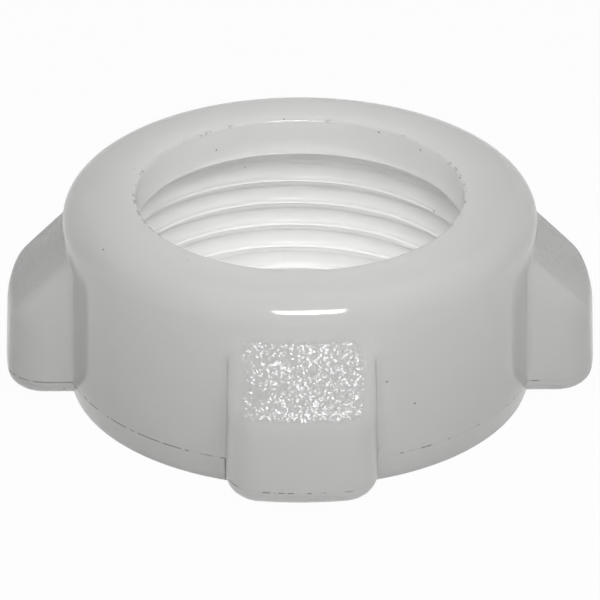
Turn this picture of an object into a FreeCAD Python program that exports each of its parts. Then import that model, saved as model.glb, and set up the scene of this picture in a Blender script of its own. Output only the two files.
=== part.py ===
import FreeCAD, Part
import math
import os

import Sketcher
from FreeCAD import Vector

# Hose nut with four wings, one moulding in natural translucent plastic.
# A short thick ring: an inward lip at the top bears on the collar of the hose tail,
# a relief ring below it clears the end of the male thread, and a right-hand straight
# pipe thread runs from there down to a chamfered entry in the base.
# Frame: the axis is Z, the base ring stands on z = 0, and the front wing points to -Y.

# Driving sizes in millimetres and degrees: name, value, meaning
SIZES = [
    ("nut_height", 17.8, "base to top face"),
    ("body_wall", 4.2, "wall outside the thread's root, at the mould's parting plane"),
    ("parting_height", 2.6, "parting plane above the base"),
    ("base_inset", 0.65, "body narrower at the base than at the parting plane"),
    ("wall_draft", 0.8, "lean of the wall above the parting plane"),
    ("shoulder_radius", 2.4, "rounding between the wall and the top face"),
    ("lip_reach", 1.1, "lip inside the thread's crests"),
    ("lip_thickness", 3.4, "lip, top face to underside"),
    ("relief_clearance", 0.2, "relief ring beyond the thread's root"),
    ("relief_height", 1.85, "relief ring's wall below the lip"),
    ("thread_root_radius", 16.6, "root of the internal thread"),
    ("thread_depth", 1.25, "root to crest"),
    ("thread_pitch", 2.2087, "11.5 threads to the inch"),
    ("crest_width", 0.765, "flat on the crest"),
    ("thread_phase", 0.912, "middle of the lowest groove above the base, on the +X side"),
    ("entry_clearance", 0.4, "entry chamfer beyond the thread's root"),
    ("entry_angle", 45.0, "entry chamfer against the axis"),
    ("wing_count", 4.0, "wings round the body"),
    ("wing_width", 12.9, "wing across its flanks, at its foot"),
    ("wing_reach", 5.08, "wing's outer face beyond the body, at the base plane"),
    ("wing_foot", 1.15, "wing's underside above the base"),
    ("flank_draft", 1.2, "lean of the wing's flanks"),
    ("face_draft", 2.1, "lean of the wing's outer face"),
    ("slope_angle", 45.8, "wing's slope above the horizontal"),
    ("slope_start", 9.1, "corner of the outer face and the slope above the base"),
    ("slope_rounding", 3.0, "rounding of that corner"),
    ("wing_edge_radius", 1.5, "all edges round the wing"),
    ("mouth_edge_bevel", 0.15, "edges of the lip"),
]

# Sizes that follow from the driving ones
CREST_RADIUS = "(Sizes.thread_root_radius - Sizes.thread_depth)"
RELIEF_RADIUS = "(Sizes.thread_root_radius + Sizes.relief_clearance)"
ENTRY_RADIUS = "(Sizes.thread_root_radius + Sizes.entry_clearance)"
LIP_RADIUS = f"({CREST_RADIUS} - Sizes.lip_reach)"
BODY_RADIUS = "(Sizes.thread_root_radius + Sizes.body_wall)"
BASE_RADIUS = f"({BODY_RADIUS} - Sizes.base_inset)"
WALL_RISE = "(Sizes.nut_height - Sizes.parting_height)"
TOP_RADIUS = f"({BODY_RADIUS} - {WALL_RISE} * tan(Sizes.wall_draft * 1 deg))"
LIP_UNDERSIDE = "(Sizes.nut_height - Sizes.lip_thickness)"
RELIEF_FOOT = f"({LIP_UNDERSIDE} - Sizes.relief_height)"
SHOULDER_FOOT = "(Sizes.nut_height - Sizes.shoulder_radius)"
FLANK_WIDTH = "((Sizes.thread_pitch - Sizes.crest_width) / 2)"
FLANK_RISE = f"({FLANK_WIDTH} / Sizes.thread_depth)"
GROOVE_START = "(Sizes.thread_phase - Sizes.thread_pitch)"
WING_FACE = f"({BODY_RADIUS} + Sizes.wing_reach)"
WING_FOOT_HALF = "(Sizes.wing_width / 2)"
WING_RISE = f"({SHOULDER_FOOT} - Sizes.wing_foot)"
WING_TOP_HALF = f"({WING_FOOT_HALF} - {WING_RISE} * tan(Sizes.flank_draft * 1 deg))"
WING_BACK = f"(({RELIEF_RADIUS} + {BASE_RADIUS}) / 2)"

# Cutters run past what they cut, the groove by less so that its turns stay apart
OVERRUN = 1.0
GROOVE_OVERRUN = 0.3
WING_FRONT = f"({WING_FACE} + {OVERRUN})"
BEYOND_WING = f"({WING_FRONT} + {OVERRUN})"

# Edges and corners this close count as the same place
NEAR = 0.02

doc = FreeCAD.newDocument("HoseNut")
sheet = doc.addObject("Spreadsheet::Sheet", "Sizes")


def fill_sheet():
    for row, (name, value, meaning) in enumerate(SIZES, start=1):
        sheet.set(f"A{row}", name)
        sheet.set(f"B{row}", str(value))
        sheet.set(f"C{row}", meaning)
        sheet.setAlias(f"B{row}", name)
    doc.recompute()


def size(name):
    return float(sheet.get(name))


def value_of(expression):
    result = sheet.evalExpression(expression)
    return float(getattr(result, "Value", result))


def origin_plane(body, role):
    return next(f for f in body.Origin.OriginFeatures if f.Role == role)


def add_sketch(body, name, role):
    sketch = body.newObject("Sketcher::SketchObject", name)
    sketch.AttachmentSupport = (origin_plane(body, role), "")
    sketch.MapMode = "FlatFace"
    return sketch


def bind(sketch, kind, where, expression):
    """Adds a constraint whose value follows an expression on the sheet."""
    value = value_of(expression)
    index = sketch.addConstraint(Sketcher.Constraint(kind, *where, value))
    sketch.setExpression(f"Constraints[{index}]", expression)


def place_point(sketch, line, end, across, up):
    bind(sketch, "DistanceX", (-1, 1, line, end), across)
    bind(sketch, "DistanceY", (-1, 1, line, end), up)


def closed_outline(sketch, corners):
    """Straight edges through corners, each a pair of expressions on the sheet."""
    points = [Vector(value_of(across), value_of(up), 0) for across, up in corners]
    lines = [
        sketch.addGeometry(Part.LineSegment(start, end))
        for start, end in zip(points, points[1:] + points[:1])
    ]
    for line, following in zip(lines, lines[1:] + lines[:1]):
        sketch.addConstraint(Sketcher.Constraint("Coincident", line, 2, following, 1))
    for line, (across, up) in zip(lines, corners):
        place_point(sketch, line, 1, across, up)


def revolve(body, kind, name, sketch):
    feature = body.newObject(kind, name)
    feature.Profile = sketch
    feature.ReferenceAxis = (sketch, ["V_Axis"])
    feature.Angle = 360
    return feature


# One wing


def wing_block():
    """A wing with sharp edges, from inside the ring's wall to the outer face."""
    block = doc.addObject("PartDesign::Body", "WingBlock")
    front = add_sketch(block, "WingFront", "XZ_Plane")
    front.setExpression(".AttachmentOffset.Base.z", WING_BACK)
    corners = [
        (f"-{WING_FOOT_HALF}", "Sizes.wing_foot"),
        (WING_FOOT_HALF, "Sizes.wing_foot"),
        (WING_TOP_HALF, SHOULDER_FOOT),
        (f"-{WING_TOP_HALF}", SHOULDER_FOOT),
    ]
    closed_outline(front, corners)
    prism = block.newObject("PartDesign::Pad", "WingPrism")
    prism.Profile = front
    prism.setExpression("Length", f"{WING_FRONT} - {WING_BACK}")
    cut = block.newObject("PartDesign::Pocket", "FaceAndSlope")
    cut.Profile = face_and_slope(block)
    cut.Type = "ThroughAll"
    cut.Midplane = True
    doc.recompute()
    return block


def face_and_slope(block):
    """Section of what lies outside the wing's outer face, its rounded corner and its slope."""
    section = add_sketch(block, "WingSection", "YZ_Plane")
    reach = -value_of(WING_FACE)
    outside = -value_of(BEYOND_WING)
    top = size("nut_height")
    corner_height = size("slope_start")
    rounding = size("slope_rounding")
    lean = math.radians(size("face_draft"))
    slope = math.radians(size("slope_angle"))
    up_face = Vector(math.sin(lean), math.cos(lean), 0)
    up_slope = Vector(math.cos(slope), math.sin(slope), 0)
    into_wing = Vector(math.cos(lean), -math.sin(lean), 0)
    corner = Vector(reach, 0, 0) + up_face * (corner_height / math.cos(lean))
    tangent = rounding * math.tan((math.pi / 2 - slope - lean) / 2)
    face_top = corner - up_face * tangent
    slope_foot = corner + up_slope * tangent
    slope_top = corner + up_slope * ((top - corner_height) / math.sin(slope))
    circle = Part.Circle(face_top + into_wing * rounding, Vector(0, 0, 1), rounding)

    def line(begin, end):
        return section.addGeometry(Part.LineSegment(begin, end))

    face = line(Vector(reach, 0, 0), face_top)
    arc = section.addGeometry(Part.ArcOfCircle(circle, math.pi / 2 + slope, math.pi - lean))
    ramp = line(slope_foot, slope_top)
    roof = line(slope_top, Vector(outside, top, 0))
    outer = line(Vector(outside, top, 0), Vector(outside, 0, 0))
    floor = line(Vector(outside, 0, 0), Vector(reach, 0, 0))
    meeting = section.addGeometry(Part.Point(corner), True)
    section.addConstraint(Sketcher.Constraint("Tangent", face, 2, arc, 2))
    section.addConstraint(Sketcher.Constraint("Tangent", arc, 1, ramp, 1))
    for before, after in ((ramp, roof), (roof, outer), (outer, floor), (floor, face)):
        section.addConstraint(Sketcher.Constraint("Coincident", before, 2, after, 1))
    for edge in (face, ramp):
        section.addConstraint(Sketcher.Constraint("PointOnObject", meeting, 1, edge))
    section.addConstraint(Sketcher.Constraint("Horizontal", roof))
    place_point(section, face, 1, f"-{WING_FACE}", "0")
    place_point(section, outer, 1, f"-{BEYOND_WING}", "Sizes.nut_height")
    place_point(section, floor, 1, f"-{BEYOND_WING}", "0")
    bind(section, "Radius", (arc,), "Sizes.slope_rounding")
    bind(section, "Angle", (face,), "(90 - Sizes.face_draft) * 1 deg")
    bind(section, "Angle", (ramp,), "Sizes.slope_angle * 1 deg")
    bind(section, "DistanceY", (-1, 1, meeting, 1), "Sizes.slope_start")
    return section


def round_wing(block):
    """Rounds every edge that stays outside the ring, the flanks' with the foot's in one go."""
    radius = size("wing_edge_radius")
    wing = doc.addObject("Part::Fillet", "Wing")
    wing.Base = block
    wing.Edges = [(number, radius, radius) for number in numbered_edges(block.Shape, on_outside)]
    doc.recompute()
    return wing


def numbered_edges(shape, wanted):
    return [number for number, edge in enumerate(shape.Edges, start=1) if wanted(edge)]


def on_outside(edge):
    """An edge up a flank or round the underside, but not one inside the ring's wall."""
    points = [vertex.Point for vertex in edge.Vertexes]
    heights = [point.z for point in points]
    reaches_out = any(point.y < -value_of(WING_BACK) - NEAR for point in points)
    at_foot = max(heights) < size("wing_foot") + NEAR
    climbs = max(heights) - min(heights) > NEAR
    return reaches_out and (at_foot or climbs)


# The nut itself


def hose_nut(wing):
    nut = doc.addObject("PartDesign::Body", "hose_nut")
    nut.Label = "hose_nut"
    nut.BaseFeature = wing
    doc.recompute()
    spread_wings(nut)
    add_ring(nut)
    cut_bore(nut)
    cut_thread(nut)
    return nut


def spread_wings(nut):
    around = nut.newObject("PartDesign::PolarPattern", "WingsAround")
    around.TransformMode = "Whole shape"
    around.Axis = (origin_plane(nut, "Z_Axis"), [""])
    around.Angle = 360
    around.setExpression("Occurrences", "Sizes.wing_count")
    nut.Tip = around
    doc.recompute()


def add_ring(nut):
    """The ring's outside as a solid of revolution, with its shoulder rounded."""
    section = add_sketch(nut, "RingSection", "XZ_Plane")
    corners = [
        ("0", "0"),
        (BASE_RADIUS, "0"),
        (BODY_RADIUS, "Sizes.parting_height"),
        (TOP_RADIUS, "Sizes.nut_height"),
        ("0", "Sizes.nut_height"),
    ]
    closed_outline(section, corners)
    revolve(nut, "PartDesign::Revolution", "Ring", section)
    doc.recompute()
    shoulder = finish_edge(nut, "PartDesign::Fillet", "Shoulder", TOP_RADIUS, "Sizes.nut_height")
    shoulder.setExpression("Radius", "Sizes.shoulder_radius")
    doc.recompute()


def cut_bore(nut):
    """Entry chamfer, bore at the thread's crests, relief ring and the bore through the lip."""
    section = add_sketch(nut, "BoreSection", "XZ_Plane")
    entry_depth = f"({ENTRY_RADIUS} - {CREST_RADIUS}) / tan(Sizes.entry_angle * 1 deg)"
    relief_drop = f"({RELIEF_RADIUS} - {CREST_RADIUS}) * {FLANK_RISE}"
    corners = [
        ("0", f"-{OVERRUN}"),
        (ENTRY_RADIUS, f"-{OVERRUN}"),
        (ENTRY_RADIUS, "0"),
        (CREST_RADIUS, entry_depth),
        (CREST_RADIUS, f"{RELIEF_FOOT} - {relief_drop}"),
        (RELIEF_RADIUS, RELIEF_FOOT),
        (RELIEF_RADIUS, LIP_UNDERSIDE),
        (LIP_RADIUS, LIP_UNDERSIDE),
        (LIP_RADIUS, f"Sizes.nut_height + {OVERRUN}"),
        ("0", f"Sizes.nut_height + {OVERRUN}"),
    ]
    closed_outline(section, corners)
    revolve(nut, "PartDesign::Groove", "Bore", section)
    doc.recompute()
    for name, height in (("MouthEdge", "Sizes.nut_height"), ("LipEdge", LIP_UNDERSIDE)):
        bevel = finish_edge(nut, "PartDesign::Chamfer", name, LIP_RADIUS, height)
        bevel.setExpression("Size", "Sizes.mouth_edge_bevel")
        doc.recompute()


def cut_thread(nut):
    """Right-hand groove that starts below the base and runs out into the relief ring."""
    section = add_sketch(nut, "GrooveSection", "XZ_Plane")
    inner_radius = f"{CREST_RADIUS} - {GROOVE_OVERRUN}"
    inner_half = f"({FLANK_WIDTH} + {GROOVE_OVERRUN} * {FLANK_RISE})"
    corners = [
        (inner_radius, f"{GROOVE_START} - {inner_half}"),
        ("Sizes.thread_root_radius", GROOVE_START),
        (inner_radius, f"{GROOVE_START} + {inner_half}"),
    ]
    closed_outline(section, corners)
    thread = nut.newObject("PartDesign::SubtractiveHelix", "Thread")
    thread.Refine = False
    thread.Profile = section
    thread.ReferenceAxis = (section, ["V_Axis"])
    thread.Mode = "pitch-height-angle"
    thread.setExpression("Pitch", "Sizes.thread_pitch")
    thread.setExpression("Height", f"{RELIEF_FOOT} + {GROOVE_OVERRUN} - {GROOVE_START}")
    thread.LeftHanded = False
    thread.Reversed = False
    doc.recompute()


def finish_edge(nut, kind, name, ring_radius, height):
    """A fillet or chamfer on the full circle of this radius round the axis at this height."""
    before = nut.Tip
    radius = value_of(ring_radius)
    centre = Vector(0, 0, value_of(height))

    def is_ring(edge):
        start = edge.Vertexes[0].Point
        centred = edge.CenterOfMass.distanceToPoint(centre) < NEAR
        return centred and abs(math.hypot(start.x, start.y) - radius) < NEAR

    finish = nut.newObject(kind, name)
    finish.Base = (before, [f"Edge{number}" for number in numbered_edges(before.Shape, is_ring)])
    return finish


def check_features():
    for feature in doc.Objects:
        if "Invalid" in feature.State or "Error" in feature.State:
            raise RuntimeError(f"{feature.Name} failed: {feature.State}")


def write_parts(pieces):
    for piece in pieces:
        if piece.Shape.isNull() or not piece.Shape.isValid():
            raise RuntimeError(f"{piece.Label} has no valid shape")
    os.makedirs("parts", exist_ok=True)
    for piece in pieces:
        piece.Shape.exportStep(f"parts/{piece.Label}.step")


fill_sheet()
nut = hose_nut(round_wing(wing_block()))
check_features()
write_parts([nut])
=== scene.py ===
import math

import bmesh
import bpy
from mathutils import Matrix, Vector


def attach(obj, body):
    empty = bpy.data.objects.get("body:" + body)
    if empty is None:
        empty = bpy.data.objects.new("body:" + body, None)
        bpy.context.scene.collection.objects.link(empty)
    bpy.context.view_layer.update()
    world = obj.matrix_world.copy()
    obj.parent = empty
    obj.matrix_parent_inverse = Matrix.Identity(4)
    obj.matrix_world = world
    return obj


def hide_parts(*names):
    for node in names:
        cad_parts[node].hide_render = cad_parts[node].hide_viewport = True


# Hose nut with four wings, one moulding in natural translucent plastic.
# Everything is in metres: the axis is Z, the base stands on z = 0, the front wing points to -Y.
# A pair of limits gives where a soft change starts and where it ends.

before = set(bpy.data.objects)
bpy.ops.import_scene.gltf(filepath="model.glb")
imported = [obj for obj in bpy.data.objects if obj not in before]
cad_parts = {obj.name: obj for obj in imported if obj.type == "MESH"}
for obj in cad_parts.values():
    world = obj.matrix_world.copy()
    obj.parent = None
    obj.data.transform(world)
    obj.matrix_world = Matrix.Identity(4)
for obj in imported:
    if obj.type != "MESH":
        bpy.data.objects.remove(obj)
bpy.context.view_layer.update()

MM = 0.001
FULL_TURN = 2 * math.pi
WHITE = (1.0, 1.0, 1.0, 1.0)

# The ring
NUT_HEIGHT = 17.8 * MM
BODY_RADIUS = 20.8 * MM
PARTING_HEIGHT = 2.6 * MM
BASE_RADIUS = BODY_RADIUS - 0.65 * MM
WALL_DRAFT = math.radians(0.8)
SHOULDER_RADIUS = 2.4 * MM
BASE_EDGE = 0.25 * MM
MOUTH_RADIUS = 14.25 * MM
LIP_THICKNESS = 3.4 * MM
LIP_EDGE = 0.25 * MM
LIP_FOOT = 0.1 * MM
ENTRY_RADIUS = 17.0 * MM
TURNING_STEPS = 320
SHOULDER_STEPS = 16
MERGE_DISTANCE = 0.0005 * MM
SHARP_ANGLE = math.radians(32)

# The thread, 11.5 turns to the inch
CREST_RADIUS = 15.35 * MM
THREAD_DEPTH = 1.25 * MM
ROOT_RADIUS = CREST_RADIUS + THREAD_DEPTH
PITCH = 2.2087 * MM
CREST_WIDTH = 0.5 * MM
ROOT_WIDTH = 0.5 * MM
FLANK_WIDTH = (PITCH - CREST_WIDTH - ROOT_WIDTH) / 2
FLANK_RISE = FLANK_WIDTH / THREAD_DEPTH
ROOT_ROW = 0.9
FLANK_ROWS = (0.12, 0.3, 0.55, 0.78, 0.92, 1.04, 1.2)
THREAD_PHASE = 0.81 * MM
THREAD_SOFTNESS = 0.8
ROUNDING_REACH = 0.25
BORE_LIMIT = 0.9 * PITCH
RELIEF_RADIUS = ROOT_RADIUS + 0.2 * MM
RELIEF_FOOT = NUT_HEIGHT - LIP_THICKNESS - 1.85 * MM

# The wings
WING_COUNT = 4
WING_REACH = BODY_RADIUS + 5.07 * MM
WING_HALF = 6.45 * MM
WING_FOOT = 1.15 * MM
WING_BACK = 17.0 * MM
FLANK_DRAFT = math.radians(1.2)
FACE_DRAFT = math.radians(2.1)
SLOPE_ANGLE = math.radians(45.8)
SLOPE_START = 9.1 * MM
SLOPE_TOP = NUT_HEIGHT - 3.3 * MM
SLOPE_ROUNDING = 3.0 * MM
UPRIGHT_EDGE = 2.8 * MM
SLOPE_EDGE = 1.1 * MM
FOOT_EDGE = 1.5 * MM
EDGE_CHANGE = (6.4 * MM, 10.8 * MM)
FLANK_ROOT = 0.9 * MM
FLANK_ROOT_SHARE = 0.85
FLARE_LIMIT = 1.2 * MM
FLARE_RISE = 0.8 * MM
SLOPE_ROOT = 0.8 * MM
SLOPE_ROOT_SHARE = 0.16
SLOPE_TAIL = (0.35 * MM, 0.8 * MM)
ROOT_TAIL = 0.5 * MM
SECTION_GAP = 0.03 * MM
FLANK_LEAST = 12 * SECTION_GAP
GRAIN_STEP = 0.13 * MM
FOOT_STEPS = 8
FACE_STEPS = 6
SLOPE_ROUNDING_STEPS = 12
FLAT_STEPS = 38
EDGE_STEPS = 10
FLANK_STEPS = 3
ROOT_STEPS = 6

# The grain of the wings' slopes: where it lies, its relief and its facets
GRAIN_ACROSS = (4.9 * MM, 5.4 * MM)
GRAIN_BOTTOM = (8.9 * MM, 9.25 * MM)
GRAIN_TOP = (14.4 * MM, 14.65 * MM)
GRAIN_CLEAR = (BODY_RADIUS - 0.9 * MM, BODY_RADIUS - 0.4 * MM)
GRAIN_SIZE = 0.27 * MM
GRAIN_HEIGHT = 0.045 * MM
GRAIN_SEED = 3.0
FACET_SIZE = 0.15 * MM
FACET_LEAN = 0.35
# Painted shade: how much darker the flats of the slopes are coloured
SLOPE_SHADE = 0.08
SLOPE_POLISH = 0.02

# The plastic
PLASTIC_TONE = 0.88
BLUE_SHARE = 0.995
PATCH_SIZE = 8.0 * MM
PATCH_TONE = 0.04
HAZE_SIZE = 2.6 * MM
HAZE_TONE = 0.03
HAZE_ROUGHNESS = 0.08
HAZE_LIMITS = (0.4, 0.8)
MILK_COLOUR = (0.93, 0.93, 0.92, 1.0)
MILK_SHARE = 0.5
MILK_DEPTH = 3.0 * MM
PLASTIC_IOR = 1.5
GLOSS_LEVEL = 1.0
GLOSS_ROUGHNESS = 0.08
COAT_ROUGHNESS = 0.05
SKIN_SIZE = 0.7 * MM
SKIN_HEIGHT = 0.004 * MM

# The dirt, and the painted shade in the wings' root creases: where each kind lies, how far it
# reaches and how strong it is
DIRT_AND_SHADE_COLOUR = (0.09, 0.08, 0.07, 1.0)
DIRT_AND_SHADE_LIMIT = 0.9
OUTER_WALL = (19.6 * MM, 19.9 * MM)
LINE_RISE = 0.03 * MM
LINE_REACH = (0.02 * MM, 0.1 * MM)
LINE_DIRT = 0.85
DASH_SIZE = 1.1 * MM
DASH_ROUGHNESS = 0.7
DASH_LIMITS = (0.48, 0.58)
DASH_GAP = 0.12
DASH_SIDES = (-9.0 * MM, 5.0 * MM)
DASH_BIAS = 0.06
# Painted shade: a dark line in the crease at each flank's root, in the dirt colour
CORNER_OFFSET = 0.02 * MM
CORNER_REACH = (0.04 * MM, 0.11 * MM)
CORNER_TOP = (PARTING_HEIGHT - 0.1 * MM, PARTING_HEIGHT + 0.05 * MM)
CORNER_PATCHES = (0.46, 0.52)
CORNER_SHARES = (1.0, 0.1)
CORNER_SHADE = 0.9
RIM_RADIUS = MOUTH_RADIUS + 0.1 * MM
RIM_REACH = (0.05 * MM, 0.25 * MM)
RIM_TOP = (NUT_HEIGHT - 0.3 * MM, NUT_HEIGHT - 0.1 * MM)
SMUDGE_PATCHES = 0.9
SMUDGE_LIMITS = (0.95, 1.15)
SMUDGE_DIRT = (0.1, 0.7)
FLANK_BAND = (5.6 * MM, 6.2 * MM)
BEYOND_WALL = (20.9 * MM, 21.2 * MM)
BORE_BAND = (15.0 * MM, 17.2 * MM)
SPECK_SPACING = 1.2 * MM
SPECK_SIZE = 0.13 * MM
SPECK_CORE = 0.6
SPECK_LIMITS = (1.0, 1.02)
SPECK_SHARE = 0.03
BORE_SPECKS = 0.1
FLANK_SPECKS = 0.25
RIM_SPECKS = 0.3
SPECK_DIRT = 0.7


def arc(centre, radius, start, end, steps):
    """Points of a circle's arc, from one angle to the other in degrees."""
    across, up = centre
    turns = [math.radians(start + (end - start) * step / steps) for step in range(steps + 1)]
    return [(across + radius * math.cos(turn), up + radius * math.sin(turn)) for turn in turns]


def between(start, end, steps):
    """Points inside a straight run, without its ends."""
    shares = [step / steps for step in range(1, steps)]
    return [tuple(a + (b - a) * share for a, b in zip(start, end)) for share in shares]


def wall_radius(height):
    """The ring's outside: a base that widens up to the parting line, then the drafted wall."""
    if height < PARTING_HEIGHT:
        return BASE_RADIUS + (BODY_RADIUS - BASE_RADIUS) * height / PARTING_HEIGHT
    return BODY_RADIUS - (height - PARTING_HEIGHT) * math.tan(WALL_DRAFT)


def ring_section():
    """Radius and height, from the entry up the outside, over the top and down to the relief."""
    top = wall_radius(NUT_HEIGHT)
    shoulder = top - SHOULDER_RADIUS * math.tan((math.pi / 2 - WALL_DRAFT) / 2)
    underside = NUT_HEIGHT - LIP_THICKNESS
    lean = math.degrees(math.atan2(BODY_RADIUS - BASE_RADIUS, PARTING_HEIGHT))
    draft = math.degrees(WALL_DRAFT)
    shoulder_centre = (shoulder, NUT_HEIGHT - SHOULDER_RADIUS)
    # Each run follows a straight stretch of so many steps from the one before.
    runs = [
        (4, arc((BASE_RADIUS - BASE_EDGE, BASE_EDGE), BASE_EDGE, -90, -lean, 4)),
        (4, [(BODY_RADIUS, PARTING_HEIGHT)]),
        (9, arc(shoulder_centre, SHOULDER_RADIUS, draft, 90, SHOULDER_STEPS)),
        (5, arc((MOUTH_RADIUS + LIP_EDGE, NUT_HEIGHT - LIP_EDGE), LIP_EDGE, 90, 180, 5)),
        (5, arc((MOUTH_RADIUS + LIP_FOOT, underside + LIP_FOOT), LIP_FOOT, 180, 270, 4)),
        (4, arc((RELIEF_RADIUS - LIP_EDGE, underside - LIP_EDGE), LIP_EDGE, 90, 0, 3)),
        (3, [(RELIEF_RADIUS, RELIEF_FOOT)]),
    ]
    section = [(ENTRY_RADIUS, 0.0)]
    for steps, run in runs:
        section += between(section[-1], run[0], steps) + run
    return section


def bore_radius(height):
    """The bore without its grooves: the entry chamfer, the crests and the relief ring's foot."""
    entry = ENTRY_RADIUS - height
    foot = RELIEF_RADIUS - (RELIEF_FOOT - height) / FLANK_RISE
    return max(entry, CREST_RADIUS, foot)


def groove_offsets():
    """Where the rows lie within one pitch, closer together at the corners of the crest and root."""
    half_root = ROOT_WIDTH / 2
    side = [0.0, half_root * ROOT_ROW] + [half_root + share * FLANK_WIDTH for share in FLANK_ROWS]
    return [-offset for offset in reversed(side[1:])] + side


def ring_mesh():
    """The ring turned on its axis. The bore's rows follow the thread's helix, to be cut after.

    Each point holds its distance along the axis to the groove, or a full pitch off the bore.
    """
    mesh = bmesh.new()
    distance = mesh.verts.layers.float.new("from_groove")
    section = ring_section()
    offsets = groove_offsets()
    turns = math.ceil(RELIEF_FOOT / PITCH) + 3
    columns = []
    for step in range(TURNING_STEPS + 1):
        share = step / TURNING_STEPS
        cos, sin = math.cos(FULL_TURN * share), math.sin(FULL_TURN * share)
        column = []
        for radius, height in section:
            vertex = mesh.verts.new((radius * cos, radius * sin, height))
            vertex[distance] = PITCH
            column.append(vertex)
        for turn in reversed(range(turns)):
            for offset in reversed(offsets):
                height = THREAD_PHASE + (turn - 2 + share) * PITCH + offset
                inside = min(max(height, 0.0), RELIEF_FOOT)
                radius = bore_radius(inside)
                vertex = mesh.verts.new((radius * cos, radius * sin, inside))
                vertex[distance] = abs(offset) if inside == height else PITCH
                column.append(vertex)
        columns.append(column)
    rows = len(columns[0])
    for left, right in zip(columns, columns[1:]):
        for row in range(rows):
            after = (row + 1) % rows
            mesh.faces.new((left[row], right[row], right[after], left[after]))
    bmesh.ops.remove_doubles(mesh, verts=mesh.verts, dist=MERGE_DISTANCE)
    return finished_mesh(mesh, "Ring")


def finished_mesh(mesh, name):
    """An object of this mesh, with its faces outwards."""
    bmesh.ops.recalc_face_normals(mesh, faces=mesh.faces)
    data = bpy.data.meshes.new(name)
    mesh.to_mesh(data)
    mesh.free()
    return placed(name, data)


def placed(name, data):
    """An object of this data in the scene."""
    made = bpy.data.objects.new(name, data)
    bpy.context.scene.collection.objects.link(made)
    return made


def wing_path():
    """Height, reach and inset of each level section of a wing, from its underside up."""
    levels = []
    for step in range(FOOT_STEPS + 1):
        turn = math.pi / 2 * step / FOOT_STEPS
        height = WING_FOOT + FOOT_EDGE * (1 - math.cos(turn))
        levels.append((height, FOOT_EDGE * (1 - math.sin(turn))))
    lean = math.tan(FACE_DRAFT)
    path = [(height, WING_REACH - height * lean - inset, inset) for height, inset in levels]
    corner = (WING_REACH - SLOPE_START * lean, SLOPE_START)
    tangent = SLOPE_ROUNDING * math.tan((math.pi / 2 - SLOPE_ANGLE - FACE_DRAFT) / 2)
    outwards = (math.cos(FACE_DRAFT), math.sin(FACE_DRAFT))
    face_top = (corner[0] + tangent * outwards[1], corner[1] - tangent * outwards[0])
    centre = tuple(place - SLOPE_ROUNDING * share for place, share in zip(face_top, outwards))
    angles = (math.degrees(FACE_DRAFT), 90 - math.degrees(SLOPE_ANGLE))
    rounding = arc(centre, SLOPE_ROUNDING, *angles, SLOPE_ROUNDING_STEPS)
    start = (path[-1][1], path[-1][0])
    points = between(start, rounding[0], FACE_STEPS) + rounding
    root_radius = wall_radius(SLOPE_TOP) + SLOPE_ROOT
    drop = (root_radius - corner[0]) * math.sin(SLOPE_ANGLE)
    root_centre = (root_radius, corner[1] + (SLOPE_ROOT - drop) / math.cos(SLOPE_ANGLE))
    angle = 270 - math.degrees(SLOPE_ANGLE)
    last_angle = 180 + SLOPE_ROOT_SHARE * (angle - 180)
    root = arc(root_centre, SLOPE_ROOT, angle, last_angle, ROOT_STEPS)
    length = math.dist(rounding[-1], root[0])
    points += between(rounding[-1], root[0], round(length / GRAIN_STEP)) + root
    last, before = root[-1], root[-2]
    run = math.dist(last, before)
    for further in SLOPE_TAIL:
        points.append(tuple(a + (a - b) / run * further for a, b in zip(last, before)))
    return path + [(height, radius, 0.0) for radius, height in points]


def smooth(value, low, high):
    """0 below the low value, 1 above the high one, and a soft change between."""
    share = min(max((value - low) / (high - low), 0.0), 1.0)
    return share * share * (3 - 2 * share)


def root_arc(half, height):
    """The fillet between flank and wall: its turn, and the depths where it starts and ends."""
    wall = wall_radius(height)
    start = math.sqrt((wall + FLANK_ROOT) ** 2 - (half + FLANK_ROOT) ** 2)
    turn = FLANK_ROOT_SHARE * math.atan2(start, half + FLANK_ROOT)
    return turn, start, start - FLANK_ROOT * math.sin(turn)


def root_flare(depth, half, height):
    """How far a flank widens into the wall at this depth from the axis."""
    turn, start, end = root_arc(half, height)
    if depth >= start:
        return 0.0
    inside = min(start - depth, start - end)
    flare = FLANK_ROOT - math.sqrt(FLANK_ROOT**2 - inside**2)
    if depth < end:
        flare += (end - depth) * math.tan(turn)
    return min(flare, FLARE_LIMIT)


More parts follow.
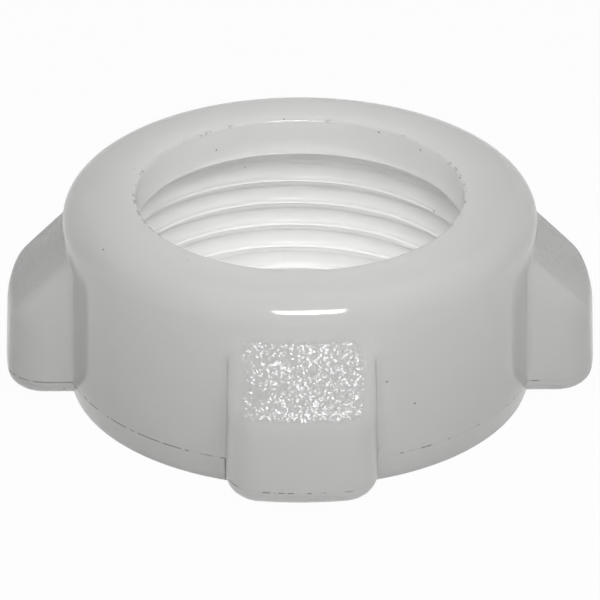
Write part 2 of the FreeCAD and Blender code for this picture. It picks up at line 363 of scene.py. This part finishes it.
def wing_side(height, reach, inset):
    """Half of a wing's level section, from the middle of its front to its back inside the ring."""
    half = WING_HALF - (height - WING_FOOT) * math.tan(FLANK_DRAFT) - inset
    along = smooth(height, *EDGE_CHANGE)
    across_edge = UPRIGHT_EDGE + (SLOPE_EDGE - UPRIGHT_EDGE) * along - inset
    deep_edge = UPRIGHT_EDGE + (SLOPE_EDGE / math.sin(SLOPE_ANGLE) - UPRIGHT_EDGE) * along - inset
    flat = half - across_edge
    side = []
    for step in range(FLAT_STEPS + 1):
        across = flat * step / FLAT_STEPS
        side.append((across, math.sqrt(reach**2 - across**2), 0.0))
    for step in range(1, EDGE_STEPS + 1):
        turn = math.pi / 2 * step / EDGE_STEPS
        across = flat + across_edge * math.sin(turn)
        depth = math.sqrt(reach**2 - across**2) - deep_edge * (1 - math.cos(turn))
        side.append((across, depth, math.sin(turn) ** 2))
    front = side[-1][1]
    _, start, end = root_arc(half, height)
    start = min(start, front - FLANK_STEPS * SECTION_GAP)
    end = min(end, start - ROOT_STEPS * SECTION_GAP)
    beyond = min(end - ROOT_TAIL, front - FLANK_LEAST)
    depths = [front + (start - front) * step / FLANK_STEPS for step in range(1, FLANK_STEPS + 1)]
    depths += [start + (end - start) * step / ROOT_STEPS for step in range(1, ROOT_STEPS + 1)]
    side += [(half, depth, 1.0) for depth in depths + [beyond, WING_BACK]]
    above = smooth(height, PARTING_HEIGHT, PARTING_HEIGHT + FLARE_RISE)
    widened = []
    for across, depth, share in side:
        widened.append((across + above * share * root_flare(depth, half, height), depth))
    return widened


def wing_mesh():
    """One closed wing at -Y, as level sections from the underside to the top inside the wall."""
    mesh = bmesh.new()
    rows = []
    for height, reach, inset in wing_path():
        side = wing_side(height, reach, inset)
        outline = [(-across, depth) for across, depth in reversed(side[1:])] + side
        rows.append([mesh.verts.new((across, -depth, height)) for across, depth in outline])
    for below, above in zip(rows, rows[1:]):
        for place in range(len(below)):
            after = (place + 1) % len(below)
            mesh.faces.new((below[place], below[after], above[after], above[place]))
    mesh.faces.new(rows[0])
    mesh.faces.new(rows[-1])
    return finished_mesh(mesh, "Wing")


class Signal:
    """A socket that takes part in Python expressions; each operation adds its Math node."""

    def __init__(self, board, socket):
        self.board = board
        self.socket = socket

    def __add__(self, other):
        return self.board.math("ADD", self, other)

    def __radd__(self, other):
        return self.board.math("ADD", other, self)

    def __sub__(self, other):
        return self.board.math("SUBTRACT", self, other)

    def __rsub__(self, other):
        return self.board.math("SUBTRACT", other, self)

    def __mul__(self, other):
        return self.board.math("MULTIPLY", self, other)

    def __rmul__(self, other):
        return self.board.math("MULTIPLY", other, self)

    def __truediv__(self, other):
        return self.board.math("DIVIDE", self, other)

    def __rtruediv__(self, other):
        return self.board.math("DIVIDE", other, self)

    def __abs__(self):
        return self.board.math("ABSOLUTE", self)


class Board:
    """A node tree, with one method that adds any node."""

    def __init__(self, tree):
        self.tree = tree

    def node(self, kind, settings=None, sockets=None):
        """A new node, with its settings first and then the values or links of its sockets."""
        made = self.tree.nodes.new(kind)
        for name, value in (settings or {}).items():
            setattr(made, name, value)
        for key, value in (sockets or {}).items():
            if isinstance(value, Signal):
                self.tree.links.new(value.socket, made.inputs[key])
            else:
                made.inputs[key].default_value = value
        return made

    def value(self, kind, settings=None, sockets=None, output=0):
        """One output of a new node."""
        return Signal(self, self.node(kind, settings, sockets).outputs[output])

    def math(self, operation, *values):
        return self.value("ShaderNodeMath", {"operation": operation}, dict(enumerate(values)))

    def vector(self, operation, *values, output=0):
        sockets = dict(enumerate(values))
        return self.value("ShaderNodeVectorMath", {"operation": operation}, sockets, output)

    def scaled(self, vector, amount):
        """A vector times a number."""
        sockets = {0: vector, "Scale": amount}
        return self.value("ShaderNodeVectorMath", {"operation": "SCALE"}, sockets)

    def parts(self, vector):
        """The x, y and z of a vector."""
        apart = self.node("ShaderNodeSeparateXYZ", sockets={0: vector})
        return [Signal(self, socket) for socket in apart.outputs]

    def ramp(self, value, low, high, start=0.0, end=1.0, kind="SMOOTHSTEP"):
        """From start to end as the value goes from low to high, and level beyond."""
        sockets = {
            "Value": value,
            "From Min": low,
            "From Max": high,
            "To Min": start,
            "To Max": end,
        }
        return self.value("ShaderNodeMapRange", {"interpolation_type": kind}, sockets)

    def falling(self, value, low, high):
        """1 below the low value and 0 above the high one."""
        return self.ramp(value, low, high, 1.0, 0.0)


def modifier_tree(name, inputs):
    """An empty geometry tree with a geometry input and these named inputs."""
    tree = bpy.data.node_groups.new(name, "GeometryNodeTree")
    tree.interface.new_socket("Geometry", in_out="INPUT", socket_type="NodeSocketGeometry")
    for label, kind in inputs:
        tree.interface.new_socket(label, in_out="INPUT", socket_type=kind)
    tree.interface.new_socket("Geometry", in_out="OUTPUT", socket_type="NodeSocketGeometry")
    board = Board(tree)
    given = board.node("NodeGroupInput")
    return board, {socket.name: Signal(board, socket) for socket in given.outputs if socket.name}


def close_tree(board, geometry, material):
    """The end of a geometry tree: real copies, in this material."""
    real = board.value("GeometryNodeRealizeInstances", sockets={"Geometry": geometry})
    sockets = {"Geometry": real, "Material": material}
    painted = board.value("GeometryNodeSetMaterial", sockets=sockets)
    board.node("NodeGroupOutput", sockets={"Geometry": painted})


def shaped_by(source, board, values):
    """The mesh that a geometry tree makes of this object, with the object itself removed."""
    modifier = source.modifiers.new(board.tree.name, "NODES")
    modifier.node_group = board.tree
    for item in board.tree.interface.items_tree:
        if item.in_out == "INPUT" and item.name in values:
            modifier[item.identifier] = values[item.name]
    return applied(source)


def applied(source):
    """A plain mesh of what this object's modifiers make, with the object itself removed."""
    graph = bpy.context.evaluated_depsgraph_get()
    data = bpy.data.meshes.new_from_object(source.evaluated_get(graph), depsgraph=graph)
    name = source.name
    bpy.data.objects.remove(source)
    return placed(name, data)


def thread_tree():
    """Pushes the bore outwards to the thread's form, from each point's distance to the groove."""
    floats = ["Crest radius", "Depth", "Half root", "Flank", "Softness"]
    inputs = [(label, "NodeSocketFloat") for label in floats] + [("Material", "NodeSocketMaterial")]
    board, given = modifier_tree("Thread", inputs)
    distance = board.value(
        "GeometryNodeInputNamedAttribute", {"data_type": "FLOAT"}, {"Name": "from_groove"}
    )
    along = (distance - given["Half root"]) / given["Flank"]
    straight = board.ramp(along, 0.0, 1.0, kind="LINEAR")
    rounded = board.ramp(along, -ROUNDING_REACH, 1 + ROUNDING_REACH)
    share = straight * (1 - given["Softness"]) + rounded * given["Softness"]
    wanted = given["Crest radius"] + given["Depth"] * (1 - share)
    position = board.value("GeometryNodeInputPosition")
    flat = board.vector("MULTIPLY", position, (1, 1, 0))
    radius = board.vector("LENGTH", flat, output="Value")
    grown = board.math("MAXIMUM", radius, wanted) / radius
    scale = board.value("ShaderNodeCombineXYZ", sockets={0: grown, 1: grown, 2: 1.0})
    moved = board.vector("MULTIPLY", position, scale)
    in_bore = board.value(
        "FunctionNodeCompare",
        {"data_type": "FLOAT", "operation": "LESS_THAN"},
        {0: distance, 1: BORE_LIMIT},
    )
    cut = board.value(
        "GeometryNodeSetPosition",
        sockets={"Geometry": given["Geometry"], "Selection": in_bore, "Position": moved},
    )
    close_tree(board, cut, given["Material"])
    return board


def wings_tree():
    """Repeats a wing round the axis, then grains the flats of the slopes."""
    inputs = [
        ("Count", "NodeSocketInt"),
        ("Grain size", "NodeSocketFloat"),
        ("Grain height", "NodeSocketFloat"),
        ("Seed", "NodeSocketFloat"),
        ("Material", "NodeSocketMaterial"),
    ]
    board, given = modifier_tree("Wings round the nut", inputs)
    points = board.value(
        "GeometryNodeMeshLine", sockets={"Count": given["Count"], "Offset": (0, 0, 0)}
    )
    turn = board.value("GeometryNodeInputIndex") * FULL_TURN / given["Count"]
    rotation = board.value("ShaderNodeCombineXYZ", sockets={2: turn})
    copies = board.value(
        "GeometryNodeInstanceOnPoints",
        sockets={"Points": points, "Instance": given["Geometry"], "Rotation": rotation},
    )
    real = board.value("GeometryNodeRealizeInstances", sockets={"Geometry": copies})
    position = board.value("GeometryNodeInputPosition")
    noise = board.value(
        "ShaderNodeTexNoise",
        {"noise_dimensions": "4D"},
        {"Vector": position, "W": given["Seed"], "Scale": 1 / given["Grain size"], "Detail": 1.0},
    )
    lift = (noise - 0.5) * given["Grain height"] * slope_mask(board, position)
    offset = board.scaled(board.value("GeometryNodeInputNormal"), lift)
    grained = board.value("GeometryNodeSetPosition", sockets={"Geometry": real, "Offset": offset})
    close_tree(board, grained, given["Material"])
    return board


def slope_mask(board, position):
    """1 on the flat of each wing's slope, fading towards its edges."""
    x, y, z = board.parts(position)
    across = board.math("MINIMUM", abs(x), abs(y))
    outward = board.math("MAXIMUM", abs(x), abs(y))
    sides = board.falling(across, *GRAIN_ACROSS)
    bottom = board.ramp(z, *GRAIN_BOTTOM)
    top = board.falling(z, *GRAIN_TOP)
    return sides * bottom * top * board.ramp(outward, *GRAIN_CLEAR)


def specks(board, place, share):
    """Small dark dots, one in some of the cells of a random pattern."""
    sockets = {"Vector": place, "Scale": 1 / SPECK_SPACING}
    cells = board.node("ShaderNodeTexVoronoi", sockets=sockets)
    distance, colour = (Signal(board, cells.outputs[name]) for name in ("Distance", "Color"))
    tint = board.value("ShaderNodeSeparateColor", sockets={0: colour})
    edge = SPECK_SIZE / SPECK_SPACING
    dots = board.falling(distance, edge * SPECK_CORE, edge)
    return dots * board.ramp(tint + share, *SPECK_LIMITS)


def clouds(board, place, size, detail=2.0, roughness=0.5):
    """Soft patches of about this size, from 0 to 1."""
    sockets = {"Vector": place, "Scale": 1 / size, "Detail": detail, "Roughness": roughness}
    return board.value("ShaderNodeTexNoise", sockets=sockets)


def grime_and_crease_shade(board, place, patchy):
    """Dirt in the mould's parting line, along the mouth and in a few pits, and painted shade in the
    crease at the wings' roots.
    """
    x, y, z = board.parts(place)
    across = board.math("MINIMUM", abs(x), abs(y))
    radius = board.math("SQRT", x * x + y * y)
    outside = board.ramp(radius, *OUTER_WALL)
    broken = clouds(board, place, DASH_SIZE, roughness=DASH_ROUGHNESS)

    # Broken dashes along the parting line, more of them towards -X
    from_line = abs(z - PARTING_HEIGHT - LINE_RISE)
    more = board.ramp(x, *DASH_SIDES, DASH_BIAS, -DASH_BIAS)
    dashes = board.ramp(broken + more, *DASH_LIMITS, DASH_GAP, 1.0)
    parting = board.falling(from_line, *LINE_REACH) * outside * dashes

    # Painted shade: a dark line in the crease where a flank meets the wall below the parting line
    low_wall = BASE_RADIUS + (BODY_RADIUS - BASE_RADIUS) / PARTING_HEIGHT * z
    from_flank = across - (WING_HALF + CORNER_OFFSET)
    from_wall = radius - low_wall
    from_corner = board.math("SQRT", from_flank * from_flank + from_wall * from_wall)
    corner = board.falling(from_corner, *CORNER_REACH) * outside
    corner = corner * board.falling(z, *CORNER_TOP)
    corner = corner * board.ramp(patchy, *CORNER_PATCHES, *CORNER_SHARES)

    # Smudges on the mouth's edge, and specks: most on the mouth and the wings' flanks
    rim = board.falling(abs(radius - RIM_RADIUS), *RIM_REACH) * board.ramp(z, *RIM_TOP)
    smudge = rim * board.ramp(broken + SMUDGE_PATCHES * patchy, *SMUDGE_LIMITS, *SMUDGE_DIRT)
    flanks = board.ramp(across, *FLANK_BAND) * board.ramp(radius, *BEYOND_WALL)
    bore = board.falling(radius, *BORE_BAND)
    share = SPECK_SHARE + BORE_SPECKS * bore + FLANK_SPECKS * flanks + RIM_SPECKS * rim
    pits = specks(board, place, share)

    total = LINE_DIRT * parting + CORNER_SHADE * corner + smudge + SPECK_DIRT * pits
    return board.math("MINIMUM", total, DIRT_AND_SHADE_LIMIT)


def faceted(board, place, normal, slope):
    """The normal, with each grain of the slopes a small facet that leans its own way."""
    sockets = {"Vector": place, "Scale": 1 / FACET_SIZE}
    cells = board.value("ShaderNodeTexVoronoi", sockets=sockets, output="Color")
    lean = board.scaled(board.vector("SUBTRACT", cells, (0.5, 0.5, 0.5)), slope * FACET_LEAN)
    return board.vector("NORMALIZE", board.vector("ADD", normal, lean))


def natural_plastic():
    """Milky unpigmented plastic: clear gloss, faint clouds, grained slopes, mould-line grime and
    painted shade.
    """
    material = bpy.data.materials.new("Natural plastic")
    material.use_nodes = True
    nodes = material.node_tree.nodes
    board = Board(material.node_tree)
    place = board.value("ShaderNodeTexCoord", output="Object")
    slope = slope_mask(board, place)
    patchy = clouds(board, place, PATCH_SIZE)
    haze = clouds(board, place, HAZE_SIZE)
    # Real dirt, plus painted shade in the creases at the wings' roots
    dirt_and_shade = grime_and_crease_shade(board, place, patchy)

    tone = PLASTIC_TONE + PATCH_TONE * (patchy - 0.5) + HAZE_TONE * (haze - 0.5)
    # Painted shade: the flats of the slopes get a darker base colour
    tone = tone - SLOPE_SHADE * slope
    clean = board.value("ShaderNodeCombineColor", sockets={0: tone, 1: tone, 2: tone * BLUE_SHARE})
    # The dirt and the painted shade darken the base colour and take away coat and translucency
    sockets = {0: dirt_and_shade, 6: clean, 7: DIRT_AND_SHADE_COLOUR}
    colour = board.value("ShaderNodeMix", {"data_type": "RGBA"}, sockets, output=2)
    gloss = GLOSS_ROUGHNESS + HAZE_ROUGHNESS * board.ramp(haze, *HAZE_LIMITS)
    gloss = gloss - SLOPE_POLISH * slope
    height = clouds(board, place, SKIN_SIZE, detail=1.0) * SKIN_HEIGHT
    sockets = {"Height": height, "Strength": 1.0, "Distance": 1.0}
    bump = board.value("ShaderNodeBump", sockets=sockets)

    shader = nodes["Principled BSDF"]
    varied = {
        "Base Color": colour,
        "Roughness": gloss,
        "Coat Weight": (1 - slope) * (1 - dirt_and_shade),
        "Normal": faceted(board, place, bump, slope),
    }
    for name, signal in varied.items():
        board.tree.links.new(signal.socket, shader.inputs[name])
    shader.subsurface_method = "BURLEY"
    constant = {
        "IOR": PLASTIC_IOR,
        "Specular IOR Level": GLOSS_LEVEL,
        "Coat Roughness": COAT_ROUGHNESS,
        "Subsurface Weight": 1.0,
        "Subsurface Radius": (1.0, 1.0, 1.0),
        "Subsurface Scale": MILK_DEPTH,
    }
    for name, value in constant.items():
        shader.inputs[name].default_value = value
    milk = board.value("ShaderNodeBsdfTranslucent", sockets={"Color": MILK_COLOUR})
    moulding = Signal(board, shader.outputs["BSDF"])
    through = MILK_SHARE * (1 - dirt_and_shade)
    mixed = board.value("ShaderNodeMixShader", sockets={0: through, 1: moulding, 2: milk})
    board.tree.links.new(mixed.socket, nodes["Material Output"].inputs["Surface"])
    return material


def united_nut(plastic):
    """Ring and wings joined into one closed moulding."""
    ring = shaped_by(ring_mesh(), thread_tree(), {
        "Crest radius": CREST_RADIUS,
        "Depth": THREAD_DEPTH,
        "Half root": ROOT_WIDTH / 2,
        "Flank": FLANK_WIDTH,
        "Softness": THREAD_SOFTNESS,
        "Material": plastic,
    })
    wings = shaped_by(wing_mesh(), wings_tree(), {
        "Count": WING_COUNT,
        "Grain size": GRAIN_SIZE,
        "Grain height": GRAIN_HEIGHT,
        "Seed": GRAIN_SEED,
        "Material": plastic,
    })
    union = ring.modifiers.new("Union", "BOOLEAN")
    union.operation = "UNION"
    union.solver = "MANIFOLD"
    union.object = wings
    nut = applied(ring)
    bpy.data.objects.remove(wings)
    nut.name = "winged_nut"
    nut.data.name = "winged_nut"
    nut.data.polygons.foreach_set("use_smooth", [True] * len(nut.data.polygons))
    nut.data.set_sharp_from_angle(angle=SHARP_ANGLE)
    nut.data.materials.clear()
    nut.data.materials.append(plastic)
    return nut


# The view: a long lens a little above the nut, square to the front wing
CAMERA_TARGET = Vector((0.013 * MM, 0.0, 7.237 * MM))
CAMERA_DISTANCE = 479.4 * MM
CAMERA_ELEVATION = math.radians(28.22)
CAMERA_AZIMUTH = math.radians(-0.45)
LENS = 328.3
SENSOR_WIDTH = 36.0
NEAR_CLIP = 0.01
FAR_CLIP = 20.0

# The light: a soft white tent, a softbox in front above the lens, a strip above, a lit table
TENT_LOW = 0.165
TENT_HIGH = 0.2
TENT_TOP = 0.95
TENT_TILT = 0.12
KEY_DISTANCE = 400 * MM
KEY_AZIMUTH = math.radians(4.6)
KEY_ELEVATION = math.radians(45.0)
KEY_SPREAD = (math.radians(26.5), math.radians(15.0))
KEY_POWER = 0.8
STRIP_WIDTH = 8.0 * MM
STRIP_LENGTH = 90.0 * MM
STRIP_RISE = 28.0 * MM
STRIP_BACK = 12.0 * MM
STRIP_STRENGTH = 2.5
GLOW_RADIUS = 9.0 * MM
GLOW_BACK = 5.5 * MM
GLOW_RISE = 0.05 * MM
GLOW_STRENGTH = 2.2

# The floor
FLOOR_HALF = 1.5
FLOOR_DROP = 0.02 * MM
FLOOR_TONE = 0.55
FLOOR_SHADE = 0.03


def towards(azimuth, elevation):
    """The direction from the nut, with the azimuth measured from -Y towards +X."""
    level = math.cos(elevation)
    return Vector((math.sin(azimuth) * level, -math.cos(azimuth) * level, math.sin(elevation)))


def turned_back(direction):
    """The rotation of a camera or lamp in this direction that looks back at the nut."""
    return (-direction).to_track_quat("-Z", "Y").to_euler()


def add_camera():
    """The camera at the photo's angle."""
    data = bpy.data.cameras.new("Camera")
    data.lens = LENS
    data.sensor_width = SENSOR_WIDTH
    data.clip_start = NEAR_CLIP
    data.clip_end = FAR_CLIP
    camera = placed("Camera", data)
    back = towards(CAMERA_AZIMUTH, CAMERA_ELEVATION)
    camera.location = CAMERA_TARGET + back * CAMERA_DISTANCE
    camera.rotation_euler = turned_back(back)
    bpy.context.scene.camera = camera


def lamp(name, shape, size, power):
    """An area lamp of this shape, width and length."""
    data = bpy.data.lights.new(name, "AREA")
    data.shape = shape
    data.size, data.size_y = size
    data.energy = power
    return placed(name, data)


def add_key():
    """The softbox in front of the nut, whose light lies on the shoulder."""
    size = [2 * KEY_DISTANCE * math.tan(angle / 2) for angle in KEY_SPREAD]
    key = lamp("Key softbox", "RECTANGLE", size, KEY_POWER)
    toward = towards(KEY_AZIMUTH, KEY_ELEVATION)
    key.location = toward * KEY_DISTANCE
    key.rotation_euler = turned_back(toward)


def add_strip():
    """A strip light close above the nut, running from front to back."""
    power = STRIP_STRENGTH * math.pi * STRIP_WIDTH * STRIP_LENGTH
    strip = lamp("Overhead strip", "RECTANGLE", (STRIP_WIDTH, STRIP_LENGTH), power)
    strip.location = (0.0, STRIP_BACK, NUT_HEIGHT + STRIP_RISE)
    strip.visible_camera = False
    strip.visible_glossy = False


def add_glow():
    """The lit glass that the nut stands on, where it shines up into the bore."""
    power = GLOW_STRENGTH * math.pi**2 * GLOW_RADIUS**2
    glow = lamp("Lit table", "DISK", (2 * GLOW_RADIUS, 2 * GLOW_RADIUS), power)
    glow.location = (0.0, GLOW_BACK, GLOW_RISE)
    glow.rotation_euler.x = math.pi


def seen_directly(board):
    """1 for the rays that show a background: the camera's, and those in gloss and clear parts."""
    path = board.node("ShaderNodeLightPath")
    names = ("Is Camera Ray", "Is Glossy Ray", "Is Transmission Ray", "Is Diffuse Ray")
    camera, glossy, clear, scattered = (Signal(board, path.outputs[name]) for name in names)
    bounced = board.math("MAXIMUM", glossy, clear) * (1 - scattered)
    return board.math("MAXIMUM", camera, bounced)


def add_tent():
    """White where it is seen, and otherwise soft light that grows upwards and to the right."""
    world = bpy.data.worlds.new("White tent")
    bpy.context.scene.world = world
    world.use_nodes = True
    world.node_tree.nodes.clear()
    board = Board(world.node_tree)
    rightward, _, upward = board.parts(board.value("ShaderNodeTexCoord", output="Generated"))
    height = board.ramp(upward, 0.0, TENT_TOP, TENT_LOW, TENT_HIGH, "LINEAR")
    strength = height + TENT_TILT * rightward
    lit = board.value("ShaderNodeBackground", sockets={"Color": WHITE, "Strength": strength})
    white = board.value("ShaderNodeBackground", sockets={"Color": WHITE, "Strength": 1.0})
    mixed = board.value("ShaderNodeMixShader", sockets={0: seen_directly(board), 1: lit, 2: white})
    board.node("ShaderNodeOutputWorld", sockets={"Surface": mixed})


def add_floor():
    """A white table that keeps a faint shadow of the nut."""
    mesh = bpy.data.meshes.new("Floor")
    signs = [(-1, -1), (1, -1), (1, 1), (-1, 1)]
    mesh.from_pydata([(x * FLOOR_HALF, y * FLOOR_HALF, 0) for x, y in signs], [], [(0, 1, 2, 3)])
    floor = placed("Floor", mesh)
    floor.location.z = -FLOOR_DROP
    material = bpy.data.materials.new("White table")
    material.use_nodes = True
    material.node_tree.nodes.clear()
    board = Board(material.node_tree)
    share = seen_directly(board) * (1 - FLOOR_SHADE)
    matt = board.value("ShaderNodeBsdfDiffuse", sockets={"Color": (FLOOR_TONE,) * 3 + (1,)})
    bright = board.value("ShaderNodeEmission", sockets={"Strength": 1.0})
    mixed = board.value("ShaderNodeMixShader", sockets={0: share, 1: matt, 2: bright})
    board.node("ShaderNodeOutputMaterial", sockets={"Surface": mixed})
    mesh.materials.append(material)


nut = united_nut(natural_plastic())
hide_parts("hose_nut")
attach(nut, "root")

add_camera()
add_key()
add_strip()
add_glow()
add_tent()
add_floor()
bpy.context.scene.view_settings.view_transform = "Standard"
